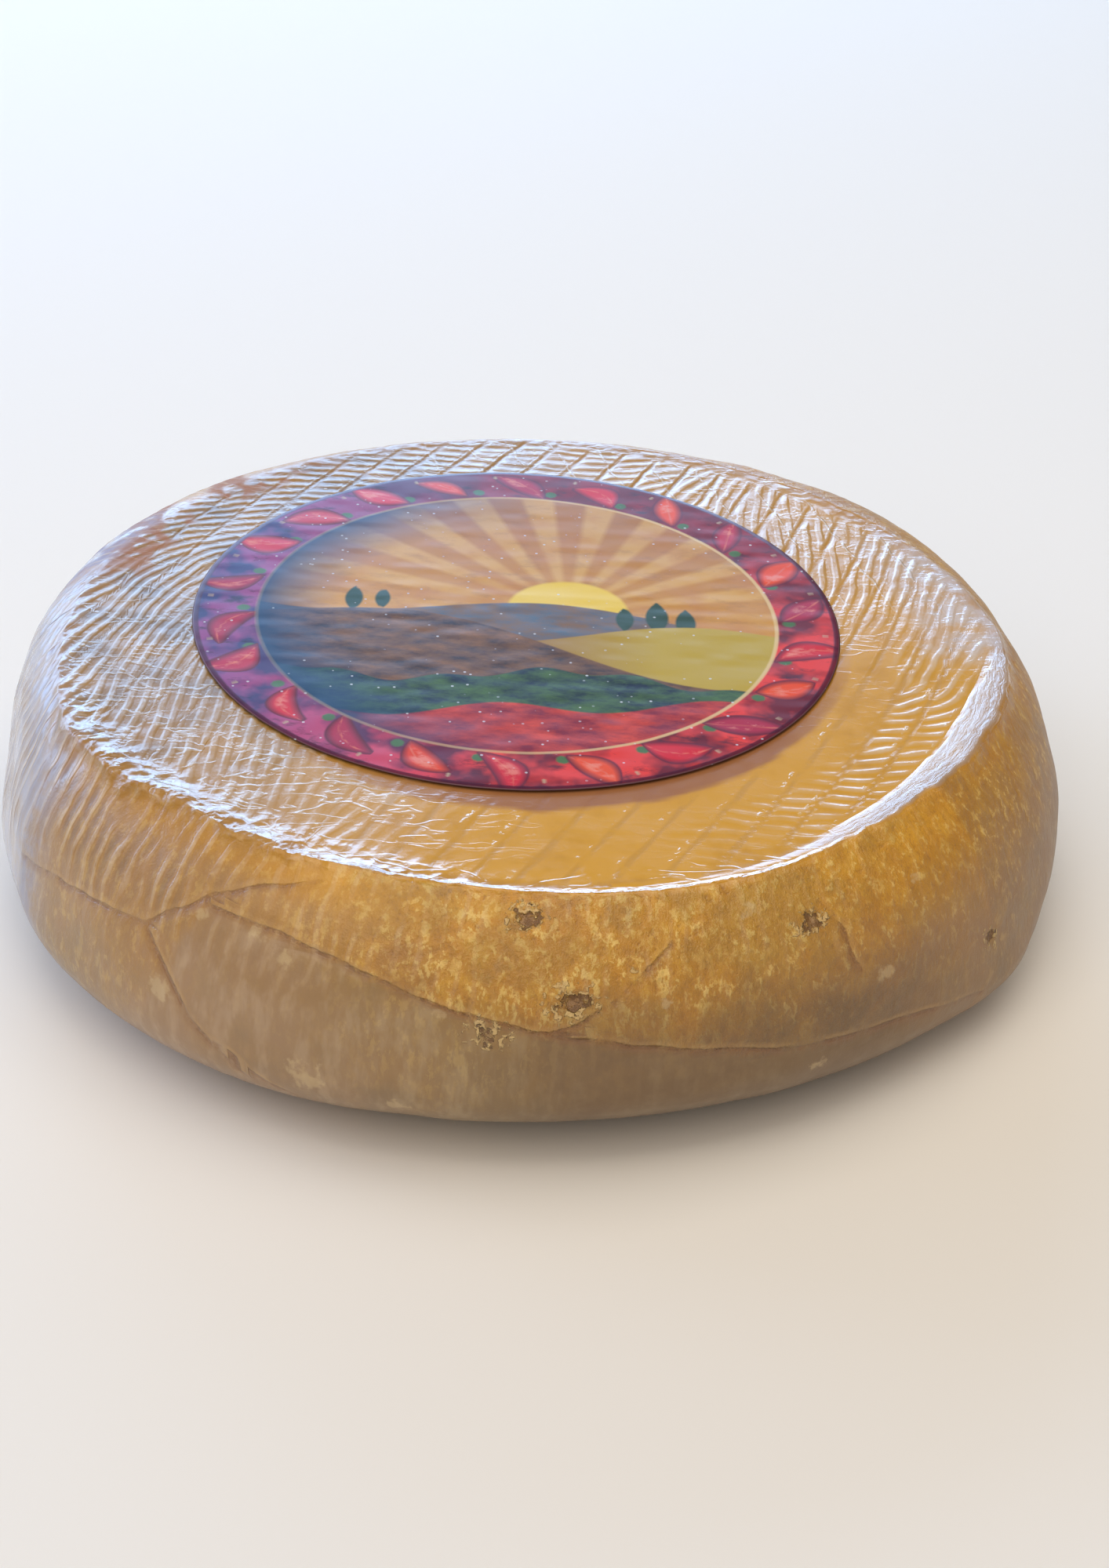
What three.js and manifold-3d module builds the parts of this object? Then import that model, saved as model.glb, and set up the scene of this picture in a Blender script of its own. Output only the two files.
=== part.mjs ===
// A whole wheel of chili raclette cheese: a squat washed-rind wheel with a round paper label on its top face.
// Millimetres, +Z up, flat bottom at z = 0, the wheel's axis near x = y = 0, its shown front towards -Y.
import * as THREE from "three";
import { mergeVertices } from "three/addons/utils/BufferGeometryUtils.js";
import Module from "manifold-3d";

// Driving dimensions
const wheelHeight = 73;
const bellyRadius = 150;
const bellyHeight = 25; // the widest level, above the floor
const rimRadius = 120; // where the flat top turns down into the shoulder
const footRadius = 112; // where the side meets the flat bottom
const topTilt = { x: -0.024, y: 0.01 }; // rise of the top face for each mm along x and y
const labelRadius = 90;
const labelThickness = 0.4;
const labelGap = 0.3;
const labelCentre = { x: -5, y: 5.9 }; // the label was laid a little off the axis

// How finely the wheel and the label are divided
const spokes = 72;
const shoulderRings = 9;
const footRings = 5;
const labelSegments = 96;

// The wheel is out of round: [waves round the rim, cosine share, sine share], shares in mm at the belly
const outOfRound = [
  [2, 0.9, 1.6],
  [3, -0.2, 1.25],
  [4, -1, -0.7],
];

// The crest where the cloth was gathered round the top edge
const crestRadius = 126;
const crestHeight = 1.4;
const crestWidth = 6;
const crestFoot = 108; // inside this radius the top face is flat
const crestMean = 0.7; // its height comes and goes round the wheel: the mean share, and the share that varies
const crestSway = 0.3;
const crestWaves = [9, 4];
const topRings = [60, 104, 110, 115]; // radii of the rings that divide the top face

// Soft lumps in the side: [waves round the rim, waves over the height, phase, depth in mm]
const sideLumps = [
  [7, 1.1, 0.4, 0.5],
  [11, 1.7, 2.1, 0.4],
  [17, 2.3, 4.0, 0.3],
];

// Swellings and hollows of the side: azimuth in degrees, height in mm, how wide in degrees and how high in mm
// each one is, and how far it stands out in mm
const swellings = [
  { azimuth: -172, height: 38, wide: 13, high: 24, out: -2.8 },
  { azimuth: 12, height: 46, wide: 10, high: 20, out: -3 },
  { azimuth: 40, height: 70, wide: 12, high: 16, out: 1.6 },
  { azimuth: -148, height: 22, wide: 9, high: 14, out: 1.8 },
  { azimuth: -87, height: 6, wide: 31, high: 11, out: -5 },
  { azimuth: -31, height: 12, wide: 10, high: 12, out: 4.6 },
];

// Seams of the pressing mat, printed across the top as long shallow grooves
const seamSpacing = 10.5;
const seamDirection = THREE.MathUtils.degToRad(68);
const seamBow = 6; // how far a seam's middle bends from straight
const seamRadius = 0.9; // of the round tool that presses it
const seamLift = 0.45; // of that tool's centre above the face
const seamReach = 118; // from the axis
const seamStations = [-1, -0.95, -0.5, 0, 0.5, 0.95, 1]; // along a seam, as shares of its half length
const seamStepsPerStation = 2;
const seamSway = 40; // mm over which the bow changes from seam to seam
const seamEndLift = 1.4; // radii by which the tool's ends clear the crest

// Folds of the pressing cloth, printed in the side: [azimuth in degrees, height in mm] along each
const foldRadius = 1.1;
const foldLift = 0.35;
const foldEndLift = 1.3; // radii by which the tool's ends clear the side
const foldStepsPerPoint = 3;
const toolSides = 5;
const normalStep = 0.5; // degrees and mm over which the side's direction is taken
const sideFolds = [
  [[-152, 38.4], [-144.3, 43.2], [-136.8, 46.9], [-129.6, 49.6]],
  [[-129, 50.2], [-126.5, 55.3], [-122.8, 61.7], [-118, 66.5], [-112.5, 69.5]],
  [
    [-128.9, 48.7], [-127.2, 44.7], [-124.5, 37.8], [-121.9, 31],
    [-120.6, 28.1], [-118.3, 23.7], [-116.6, 19.1],
  ],
  [
    [-122.3, 60], [-114, 59.6], [-107.2, 56.7], [-97.8, 50.7], [-87.2, 44.8],
    [-78.9, 40.6], [-64.9, 33.4], [-48.1, 27], [-38, 21],
  ],
  [[-86.6, 45.5], [-83.9, 47.5], [-80.5, 53.4], [-75.5, 62.1]],
  [[-55.9, 61.3], [-55.7, 55.5], [-55.5, 48.2]],
  [[28, 52], [40, 44], [55, 41], [70, 35], [84, 37]],
  [[112, 30], [122, 39], [135, 44], [150, 41], [166, 47]],
];

// Small holes in the rind: azimuth in degrees, height in mm, half width in mm, depth in mm
const pits = [
  { azimuth: -85.2, height: 52.2, size: 3.6, depth: 1.5 },
  { azimuth: -89.6, height: 68.4, size: 2.2, depth: 0.9 },
  { azimuth: -59.3, height: 61.6, size: 3, depth: 1.1 },
  { azimuth: -93, height: 44.4, size: 2.6, depth: 0.9 },
  { azimuth: -35.6, height: 35.5, size: 2.2, depth: 0.9 },
  { azimuth: 64, height: 55, size: 2.8, depth: 1.1 },
];
const pitSquash = 0.7; // height of a pit as a share of its width

const wasm = await Module();
wasm.setup();

function solidFrom(geometry) {
  const bare = geometry.clone();
  bare.deleteAttribute("normal");
  bare.deleteAttribute("uv");
  const merged = mergeVertices(bare, 1e-3);
  return new wasm.Manifold(
    new wasm.Mesh({
      numProp: 3,
      vertProperties: new Float32Array(merged.attributes.position.array),
      triVerts: new Uint32Array(merged.index.array),
    }),
  );
}

function geometryFrom(solid) {
  const mesh = solid.getMesh();
  const geometry = new THREE.BufferGeometry();
  geometry.setAttribute("position", new THREE.BufferAttribute(mesh.vertProperties, 3));
  geometry.setIndex(new THREE.BufferAttribute(mesh.triVerts, 1));
  geometry.computeVertexNormals();
  return geometry;
}

// How far the wheel is swollen or drawn in at an angle, as a factor on the radius
function roundness(angle) {
  let swell = 0;
  for (const [waves, cosine, sine] of outOfRound) {
    swell += cosine * Math.cos(waves * angle) + sine * Math.sin(waves * angle);
  }
  return 1 + swell / bellyRadius;
}

function lumps(angle, height) {
  const share = height / wheelHeight;
  let depth = 0;
  for (const [around, up, phase, size] of sideLumps) {
    depth += size * Math.sin(around * angle + phase) * Math.cos(2 * Math.PI * up * share + phase);
  }
  return depth * Math.sin(Math.PI * share);
}

// How far the side stands out or in by its swellings; they fade out towards the flat top face
function swelling(radius, angle, height) {
  const share = Math.min(1, Math.max(0, (radius - crestFoot) / (rimRadius - crestFoot)));
  let out = 0;
  for (const place of swellings) {
    const turn = THREE.MathUtils.radToDeg(angle) - place.azimuth;
    const aside = (((turn + 180) % 360) + 360) % 360 - 180;
    out += place.out * Math.exp(-((aside / place.wide) ** 2) - ((height - place.height) / place.high) ** 2);
  }
  return share * out;
}

// Radius of the side at a height, before it goes out of round
function sideRadius(height) {
  const above = height > bellyHeight;
  const inner = above ? rimRadius : footRadius;
  const span = above ? wheelHeight - bellyHeight : bellyHeight;
  const share = Math.min(1, Math.abs(height - bellyHeight) / span);
  return inner + (bellyRadius - inner) * Math.sqrt(1 - share * share);
}

// A point of the ideal round wheel carried to where the real wheel has it
function shaped(radius, angle, height) {
  const lump = height > 0 && height < wheelHeight ? lumps(angle, height) : 0;
  const r = radius * roundness(angle) + lump + swelling(radius, angle, height);
  const x = r * Math.cos(angle);
  const y = r * Math.sin(angle);
  const nearCrest = Math.exp(-(((radius - crestRadius) / crestWidth) ** 2));
  const sway = Math.sin(crestWaves[0] * angle + 1) * Math.sin(crestWaves[1] * angle);
  const share = nearCrest * (crestMean + crestSway * sway);
  const crest = height > bellyHeight && radius > crestFoot ? crestHeight * share : 0;
  const rise = (height / wheelHeight) * (topTilt.x * x + topTilt.y * y);
  return new THREE.Vector3(x, y, height + rise + crest);
}

function sidePoint(azimuth, height) {
  return shaped(sideRadius(height), THREE.MathUtils.degToRad(azimuth), height);
}

// The side's profile from the middle of the top face to the middle of the bottom
function wheelProfile() {
  const profile = [new THREE.Vector2(0, wheelHeight)];
  for (const radius of topRings) {
    profile.push(new THREE.Vector2(radius, wheelHeight));
  }
  for (let i = 0; i < shoulderRings; i++) {
    const turn = (i / shoulderRings) * (Math.PI / 2);
    const radius = rimRadius + (bellyRadius - rimRadius) * Math.sin(turn);
    profile.push(new THREE.Vector2(radius, bellyHeight + (wheelHeight - bellyHeight) * Math.cos(turn)));
  }
  for (let i = 0; i <= footRings; i++) {
    const turn = (i / footRings) * (Math.PI / 2);
    const radius = footRadius + (bellyRadius - footRadius) * Math.cos(turn);
    profile.push(new THREE.Vector2(radius, bellyHeight * (1 - Math.sin(turn))));
  }
  profile.push(new THREE.Vector2(0, 0));
  return profile;
}

function wheelBlank() {
  const blank = new THREE.LatheGeometry(wheelProfile().reverse(), spokes);
  blank.rotateX(Math.PI / 2);
  const position = blank.attributes.position;
  for (let i = 0; i < position.count; i++) {
    const radius = Math.hypot(position.getX(i), position.getY(i));
    const angle = Math.atan2(position.getY(i), position.getX(i));
    const height = Math.max(0, position.getZ(i));
    const point = shaped(radius, radius < 1e-6 ? 0 : angle, height);
    position.setXYZ(i, point.x, point.y, height === 0 ? 0 : point.z);
  }
  return solidFrom(blank);
}

// A round tool drawn along a path, which leaves a groove where it dips under the surface
function grooveTool(points, radius, steps) {
  const section = new THREE.Shape();
  for (let i = 0; i < toolSides; i++) {
    const turn = (i / toolSides) * 2 * Math.PI;
    section[i === 0 ? "moveTo" : "lineTo"](radius * Math.cos(turn), radius * Math.sin(turn));
  }
  const path = new THREE.CatmullRomCurve3(points);
  return solidFrom(new THREE.ExtrudeGeometry(section, { steps, extrudePath: path, bevelEnabled: false }));
}

// The surface's outward direction at a point of the side, from two small steps along it
function sideNormal(azimuth, height) {
  const along = sidePoint(azimuth + normalStep, height).sub(sidePoint(azimuth - normalStep, height));
  const up = sidePoint(azimuth, height + normalStep).sub(sidePoint(azimuth, height - normalStep));
  return along.cross(up).normalize();
}

function foldTool(fold) {
  const last = fold.length - 1;
  const points = fold.map(([azimuth, height], i) => {
    const lift = i === 0 || i === last ? foldRadius * foldEndLift : foldLift;
    return sidePoint(azimuth, height).addScaledVector(sideNormal(azimuth, height), lift);
  });
  return grooveTool(points, foldRadius, last * foldStepsPerPoint);
}

function seamTool(offset) {
  const half = Math.sqrt(seamReach ** 2 - offset ** 2);
  const points = seamStations.map((share) => {
    const along = share * half;
    const across = offset + seamBow * (1 - share * share) * Math.sin(offset / seamSway);
    const x = along * Math.cos(seamDirection) - across * Math.sin(seamDirection);
    const y = along * Math.sin(seamDirection) + across * Math.cos(seamDirection);
    const lift = Math.abs(share) === 1 ? seamRadius * seamEndLift + crestHeight : seamLift;
    return new THREE.Vector3(x, y, wheelHeight + topTilt.x * x + topTilt.y * y + lift);
  });
  return grooveTool(points, seamRadius, seamStations.length * seamStepsPerStation);
}

function pitTool(pit) {
  const ball = new THREE.IcosahedronGeometry(1, 1);
  const normal = sideNormal(pit.azimuth, pit.height);
  const centre = sidePoint(pit.azimuth, pit.height);
  ball.scale(pit.size, pit.size * pitSquash, pit.depth);
  ball.applyQuaternion(new THREE.Quaternion().setFromUnitVectors(new THREE.Vector3(0, 0, 1), normal));
  ball.translate(centre.x, centre.y, centre.z);
  return solidFrom(ball);
}

function cheeseWheel() {
  let wheel = wheelBlank();
  for (let offset = -seamReach + seamSpacing; offset < seamReach; offset += seamSpacing) {
    wheel = wheel.subtract(seamTool(offset));
  }
  for (const fold of sideFolds) {
    wheel = wheel.subtract(foldTool(fold));
  }
  for (const pit of pits) {
    wheel = wheel.subtract(pitTool(pit));
  }
  return geometryFrom(wheel);
}

const part = new THREE.Group();

const rindMaterial = new THREE.MeshStandardMaterial({ color: 0xc68a2e, roughness: 0.35, metalness: 0 });
const wheelMesh = new THREE.Mesh(cheeseWheel(), rindMaterial);
wheelMesh.name = "cheese_wheel";

const paperMaterial = new THREE.MeshStandardMaterial({ color: 0x8a2f3c, roughness: 0.3, metalness: 0 });
const labelDisc = new THREE.CylinderGeometry(labelRadius, labelRadius, labelThickness, labelSegments);
labelDisc.rotateX(Math.PI / 2);
const labelMesh = new THREE.Mesh(labelDisc, paperMaterial);
labelMesh.name = "label";
const topNormal = new THREE.Vector3(-topTilt.x, -topTilt.y, 1).normalize();
labelMesh.quaternion.setFromUnitVectors(new THREE.Vector3(0, 0, 1), topNormal);
const labelFoot = wheelHeight + topTilt.x * labelCentre.x + topTilt.y * labelCentre.y;
labelMesh.position.set(labelCentre.x, labelCentre.y, labelFoot);
labelMesh.position.addScaledVector(topNormal, labelGap + labelThickness / 2);

part.add(wheelMesh, labelMesh);

// The out-of-round wheel is centred by its own box
wheelMesh.geometry.computeBoundingBox();
const middle = wheelMesh.geometry.boundingBox.getCenter(new THREE.Vector3());
part.position.set(-middle.x, -middle.y, 0);

export default part;
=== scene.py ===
import math

import bpy
import numpy as np
from mathutils import Matrix, Vector


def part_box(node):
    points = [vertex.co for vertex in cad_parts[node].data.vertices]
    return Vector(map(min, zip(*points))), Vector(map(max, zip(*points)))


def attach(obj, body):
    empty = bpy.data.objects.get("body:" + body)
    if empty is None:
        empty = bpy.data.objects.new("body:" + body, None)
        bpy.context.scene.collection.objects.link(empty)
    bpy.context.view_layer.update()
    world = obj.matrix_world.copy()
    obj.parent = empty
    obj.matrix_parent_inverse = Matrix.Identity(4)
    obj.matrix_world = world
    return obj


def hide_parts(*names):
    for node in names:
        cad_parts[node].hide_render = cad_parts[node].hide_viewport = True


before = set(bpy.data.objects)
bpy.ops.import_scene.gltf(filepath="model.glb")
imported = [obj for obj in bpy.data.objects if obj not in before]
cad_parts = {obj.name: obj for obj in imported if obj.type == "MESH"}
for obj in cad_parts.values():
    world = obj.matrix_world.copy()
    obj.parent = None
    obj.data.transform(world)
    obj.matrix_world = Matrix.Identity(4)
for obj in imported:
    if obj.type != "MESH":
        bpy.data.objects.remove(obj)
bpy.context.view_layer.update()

mm = 0.001

# A whole wheel of chili raclette cheese with a round paper label on its flat top.
# The wheel and the label are rebuilt here at full detail around the same named sizes as the solids.


def linear(hexColour):
    parts = [int(hexColour[i:i + 2], 16) / 255 for i in (1, 3, 5)]
    return tuple(c / 12.92 if c <= 0.04045 else ((c + 0.055) / 1.055) ** 2.4 for c in parts) + (1.0,)


def byAzimuth(table, degrees, column=1):
    return np.interp(degrees, [row[0] for row in table], [row[column] for row in table])


def smooth(low, high, value):
    # An eased step from 0 up to 1, or down from 1 where low is above high
    share = np.clip((value - low) / (high - low), 0, 1)
    return share * share * (3 - 2 * share)


def within(value, low, high, *end):
    # Fades in from low to high, and out over the last two where they are given
    share = smooth(low, high, value)
    return share * smooth(end[1], end[0], value) if end else share


def bell(value, width):
    return np.exp(-((value / width) ** 2))


lattice = np.random.default_rng(11).uniform(-1, 1, (64, 64, 64))
cellShare = 0.62  # a cell of the lattice for each lump
cloudGain = 1.25
seedStep = np.array((3.7, 5.3, 2.9))


def cloud(points, size, seed=0.0):
    # Soft noise from about -1 to 1 whose lumps are about the given size in mm
    spots = np.asarray(points, float) / (size * cellShare) + seed * seedStep
    base = np.floor(spots).astype(int)
    share = spots - base
    share = share * share * (3 - 2 * share)
    total = 0
    for corner in np.ndindex(2, 2, 2):
        weight = np.prod(np.where(np.array(corner) == 1, share, 1 - share), axis=-1)
        i, j, k = ((base + corner) % len(lattice)).T
        total = total + weight * lattice[i, j, k]
    return total * cloudGain


def spunPiece(name, profile, spokes):
    # A profile of radius and height in mm, turned round the upright axis
    bpy.ops.object.select_all(action="DESELECT")
    bpy.ops.mesh.primitive_plane_add(size=mm)
    piece = bpy.context.object
    piece.name = piece.data.name = name
    bpy.ops.object.mode_set(mode="EDIT")
    bpy.ops.mesh.select_all(action="SELECT")
    bpy.ops.mesh.merge(type="CENTER")
    points = [Vector((radius * mm, 0, height * mm)) for radius, height in profile]
    bpy.ops.transform.translate(value=points[0])
    for here, there in zip(points, points[1:]):
        bpy.ops.mesh.extrude_region_move(TRANSFORM_OT_translate={"value": there - here})
    bpy.ops.object.mode_set(mode="OBJECT")
    bpy.ops.object.modifier_add(type="SCREW")
    turn = piece.modifiers[0]
    turn.steps = turn.render_steps = spokes
    turn.use_merge_vertices = True
    turn.merge_threshold = 0.01 * mm
    bpy.ops.object.modifier_apply(modifier=turn.name)
    bpy.ops.object.shade_smooth()
    return piece


def pointsOf(piece):
    flat = np.empty(len(piece.data.vertices) * 3)
    piece.data.vertices.foreach_get("co", flat)
    return flat.reshape(-1, 3) / mm


def setPoints(piece, points):
    piece.data.vertices.foreach_set("co", (points * mm).ravel())
    piece.data.update()


def normalsOf(piece):
    flat = np.empty(len(piece.data.vertices) * 3, np.float32)
    piece.data.vertex_normals.foreach_get("vector", flat)
    return flat.reshape(-1, 3)


def keepField(piece, name, values):
    field = piece.data.attributes.new(name, "FLOAT", "POINT")
    field.data.foreach_set("value", np.asarray(values, np.float32))


wheel = {
    "height": 73.0,
    "bellyRadius": 150.0,
    "bellyHeight": 25.0,  # the widest level
    "rimRadius": 120.0,  # where the flat top turns into the shoulder
    "footRadius": 112.0,
    "topTilt": (-0.024, 0.01),  # rise of the top for each mm along x and y
    "outOfRound": ((2, 0.9, 1.6), (3, -0.2, 1.25), (4, -1.0, -0.7)),  # waves, cosine mm, sine mm
    "lumps": ((7, 1.1, 0.4, 0.5), (11, 1.7, 2.1, 0.4), (17, 2.3, 4.0, 0.3)),  # around, up, phase, mm
    "flatRadius": 108.0,  # inside it the top is flat
    # azimuth in degrees, height in mm, how wide in degrees and high in mm, how far it stands out in mm
    "swellings": (
        (-172, 38, 13, 24, -2.8), (12, 46, 10, 20, -3.0), (40, 70, 12, 16, 1.6),
        (-148, 22, 9, 14, 1.8), (-87, 6, 31, 11, -5.0), (-31, 12, 10, 12, 4.6),
    ),
    "spokes": 900,
    "hiddenRings": (30.0, 55.0, 70.0, 78.0),  # under the label, where nothing shows
    "topRings": 25,
    "edgeRadius": 112.0,  # from here out the rings lie closer
    "edgeRings": 12,
    "shoulderRings": 51,
    "shoulderEase": 1.3,  # above 1 the rings crowd towards the rim
    "bevelRing": 38,  # counted from the middle, the ring that follows the inner edge of the bevel
    "crestRing": 50,  # and the ring that follows the crest
    "footRings": 9,
    "bottomRings": (100.0, 70.0),
    "softWaves": 0.2,  # soft unevenness of the whole rind, in mm
    "softGrain": 0.07,
}


def roundness(angle):
    swell = sum(c * np.cos(n * angle) + s * np.sin(n * angle) for n, c, s in wheel["outOfRound"])
    return 1 + swell / wheel["bellyRadius"]


def lumps(angle, height):
    share = height / wheel["height"]
    depth = sum(
        size * np.sin(around * angle + phase) * np.cos(2 * math.pi * up * share + phase)
        for around, up, phase, size in wheel["lumps"]
    )
    return depth * np.sin(math.pi * share)


def sideRadius(height):
    above = height > wheel["bellyHeight"]
    inner = np.where(above, wheel["rimRadius"], wheel["footRadius"])
    span = np.where(above, wheel["height"] - wheel["bellyHeight"], wheel["bellyHeight"])
    share = np.clip(np.abs(height - wheel["bellyHeight"]) / span, 0, 1)
    return inner + (wheel["bellyRadius"] - inner) * np.sqrt(1 - share * share)


def shoulderDrop(radius):
    # How far the plain shoulder lies under the top at a radius
    share = np.clip((radius - wheel["rimRadius"]) / (wheel["bellyRadius"] - wheel["rimRadius"]), 0, 1)
    return (wheel["height"] - wheel["bellyHeight"]) * (1 - np.sqrt(1 - share * share))


def topRise(x, y):
    return wheel["topTilt"][0] * x + wheel["topTilt"][1] * y


def swelling(radius, angle, height):
    share = np.clip((radius - wheel["flatRadius"]) / (wheel["rimRadius"] - wheel["flatRadius"]), 0, 1)
    out = 0
    for azimuth, level, wide, high, stands in wheel["swellings"]:
        aside = (np.degrees(angle) - azimuth + 180) % 360 - 180
        out = out + stands * np.exp(-((aside / wide) ** 2) - ((height - level) / high) ** 2)
    return share * out


def shaped(radius, angle, height):
    inside = (height > 0.001) & (height < wheel["height"] - 0.001)
    r = radius * roundness(angle) + np.where(inside, lumps(angle, height), 0)
    r = r + swelling(radius, angle, height)
    x, y = r * np.cos(angle), r * np.sin(angle)
    return np.stack([x, y, height + height / wheel["height"] * topRise(x, y)], axis=-1)


def wheelProfile():
    profile = [(0, wheel["height"])] + [(r, wheel["height"]) for r in wheel["hiddenRings"]]
    stops = (wheel["hiddenRings"][-1], wheel["edgeRadius"], wheel["rimRadius"])
    for first, last, count in zip(stops, stops[1:], (wheel["topRings"], wheel["edgeRings"])):
        profile += [(first + (last - first) * i / count, wheel["height"]) for i in range(1, count + 1)]
    for i in range(1, wheel["shoulderRings"]):
        turn = (i / wheel["shoulderRings"]) ** wheel["shoulderEase"] * math.pi / 2
        profile.append((
            wheel["rimRadius"] + (wheel["bellyRadius"] - wheel["rimRadius"]) * math.sin(turn),
            wheel["bellyHeight"] + (wheel["height"] - wheel["bellyHeight"]) * math.cos(turn),
        ))
    for i in range(wheel["footRings"] + 1):
        turn = i / wheel["footRings"] * math.pi / 2
        profile.append((
            wheel["footRadius"] + (wheel["bellyRadius"] - wheel["footRadius"]) * math.cos(turn),
            wheel["bellyHeight"] * (1 - math.sin(turn)),
        ))
    return profile + [(r, 0) for r in wheel["bottomRings"]] + [(0, 0)]


def shapedMiddle():
    # The solids are centred by the wheel's box, so this form moves the same way.
    # The box is reached near the widest level
    angle = np.linspace(-math.pi, math.pi, 2881)
    levels = np.linspace(18, 34, 33)
    rim = shaped(*np.broadcast_arrays(sideRadius(levels)[:, None], angle[None], levels[:, None]))
    flat = rim.reshape(-1, 3)[:, :2]
    return (flat.min(0) + flat.max(0)) / 2


# Azimuths in degrees over which a trait fades in, and over which it fades out again
zones = {
    "lip": (-120, -104, -50, -36),
    "glossyFront": (-118, -98, -6, 10),
    "rightBevel": (-60, -40),
    "worn": (118, 134, 164, 176),
    "shortRibs": (-85, -70, -2, 14),
    "crossLines": (5, 25, 100, 125),
    "faintSeams": (-122, -108, -5, 15),
    "sharpBrown": (-130, -122, -60, -40),
    "frontLeft": (-122, -112),
    "darkerRight": (-60, -20),
    "flecks": (-116, -98, 60, 110),
    "fewerFlecks": (-62, -38),
    "roundFlecks": (-80, -55, 60, 120),
    "tan": (-72, -45, 60, 120),
    "dusk": (-98, -82, -54, -36),
    "rosyBack": (120, 170),
    "hazed": (-7, 3, 22, 40),
    "damp": (-140, -84, -45, 5),  # seen from the middle of the label
    "backLeft": (98, 114, 150, 165),
    "alongLip": (-118, -104, -60, -40),
    "overBack": (70, 100),
    "overLeft": (-125, -145),
    # and these by the azimuth without its sign, so on both sides of the far left
    "spill": (143, 158),
    "paintedSheenLeft": (144, 153),
    "lowRibs": (148, 164),
    "farSpill": (158, 174),
}


# Heights and distances in mm, in the same way: a trait is absent at the first and full at the second
fades = {
    # heights up the side
    "amber": (4, 62),
    "amberShoulder": (58, 73),
    "amberLeft": (28, 44),
    "flecks": (18, 40),
    "tan": (64, 42),
    "dusk": (60, 36),
    "rosyTurn": (56, 44),
    "rosy": (70, 64),
    "paintedSheenLeft": (4, 18, 60, 70),
    "ribsUp": (3, 14),
    "standing": (0, 6),
    # radii on the top
    "worn": (109, 117, 138, 144),
    "ribsClear": (105, 97),
    "backLeft": (108, 117),
    "hazed": (103, 114),
    # distances past the crest, or past where the mat spilt over it
    "ribsOut": (-2, 4),
    "crestSheenIn": (6, -1),
    "amberTop": (1, -6),
    "flecksOut": (-0.5, 1.5),
    "spiltOut": (-4, 4),
    "spiltEnd": (14, -10),
    "paintedGlareIn": (3, -1),
    "dullIn": (4, -4),
    "coatingIn": (5, -1),
    "webIn": (2, 0),
}


def zone(name, degrees):
    return within(degrees, *zones[name])


def fade(name, distance):
    return within(distance, *fades[name])


# The crest where the cloth was gathered round the top edge, with a bevel inside it
crest = {
    # azimuth in degrees, then in mm: its radius, width and rise of the bevel, and the fall outside
    "line": (
        (-180, 127.0, 4.0, 0.1, 14), (-165, 129.0, 4.0, 0.2, 13), (-154, 132.0, 5.0, 0.45, 9),
        (-147, 131.5, 6.0, 0.6, 6), (-140, 131.0, 6.5, 0.75, 5), (-134, 128.3, 6.0, 0.8, 5),
        (-126, 128.5, 5.5, 0.8, 5), (-118, 129.0, 4.5, 0.7, 5), (-109, 127.0, 3.0, 0.5, 5),
        (-100, 126.2, 1.9, 0.34, 5), (-86, 126.5, 1.6, 0.3, 5), (-72, 127.2, 2.4, 0.42, 5),
        (-60, 127.2, 3.6, 0.66, 5), (-48, 125.6, 4.8, 0.95, 5), (-38, 125.4, 5.8, 1.2, 5),
        (-29, 126.6, 7.6, 1.57, 5), (-20, 127.4, 7.9, 1.65, 5), (-12, 128.3, 6.8, 1.4, 5),
        (-5, 128.9, 4.2, 0.88, 5), (0, 129.4, 2.0, 0.4, 6), (6, 129.3, 1.6, 0.2, 8),
        (20, 127.0, 2.5, 0.12, 12), (60, 122.5, 4.0, 0.1, 12), (100, 120.5, 4.0, 0.1, 12),
        (140, 121.0, 4.0, 0.1, 12), (160, 124.0, 4.0, 0.1, 14), (180, 127.0, 4.0, 0.1, 14),
    ),
    # azimuth in degrees, how crumpled the edge is there
    "crumple": (
        (-180, 0.2), (-163, 0.4), (-150, 1.0), (-118, 1.0), (-104, 0.5), (-90, 0.12), (-60, 0.06),
        (0, 0.06), (30, 0.2), (90, 0.2), (140, 0.2), (180, 0.2),
    ),
    "crumpleDepth": 0.5,
    "crumpleInward": 7.0,
    "crumpleOutward": 2.2,
    # azimuth in degrees, how far the crest itself wavers in mm
    "waver": ((-180, 0.2), (-110, 0.3), (-70, 0.3), (-50, 0.6), (-18, 0.6), (-10, 0.2), (180, 0.2)),
    "spill": 22.0,  # how far the mat reached over the edge at the left
    "farSpill": 14.0,  # and how much farther at the outermost left
}


def crestLine(degrees):
    # The unrounded radius of the crest, and the width of the bevel inside it
    line, wide = (byAzimuth(crest["line"], degrees, column) for column in (1, 2))
    angle = np.radians(degrees)
    edge = shaped(wheel["rimRadius"], angle, wheel["height"] - 1.0)
    ratio = np.hypot(edge[:, 0], edge[:, 1]) / wheel["rimRadius"]
    along = np.stack([np.cos(angle), np.sin(angle), angle * 0], axis=-1) * wheel["rimRadius"]
    # Only the crest wavers, so that the bevel stays one even slope
    waver = byAzimuth(crest["waver"], degrees) * cloud(along, 6, 7.0)
    return (line + waver) / ratio, wide + waver


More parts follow.
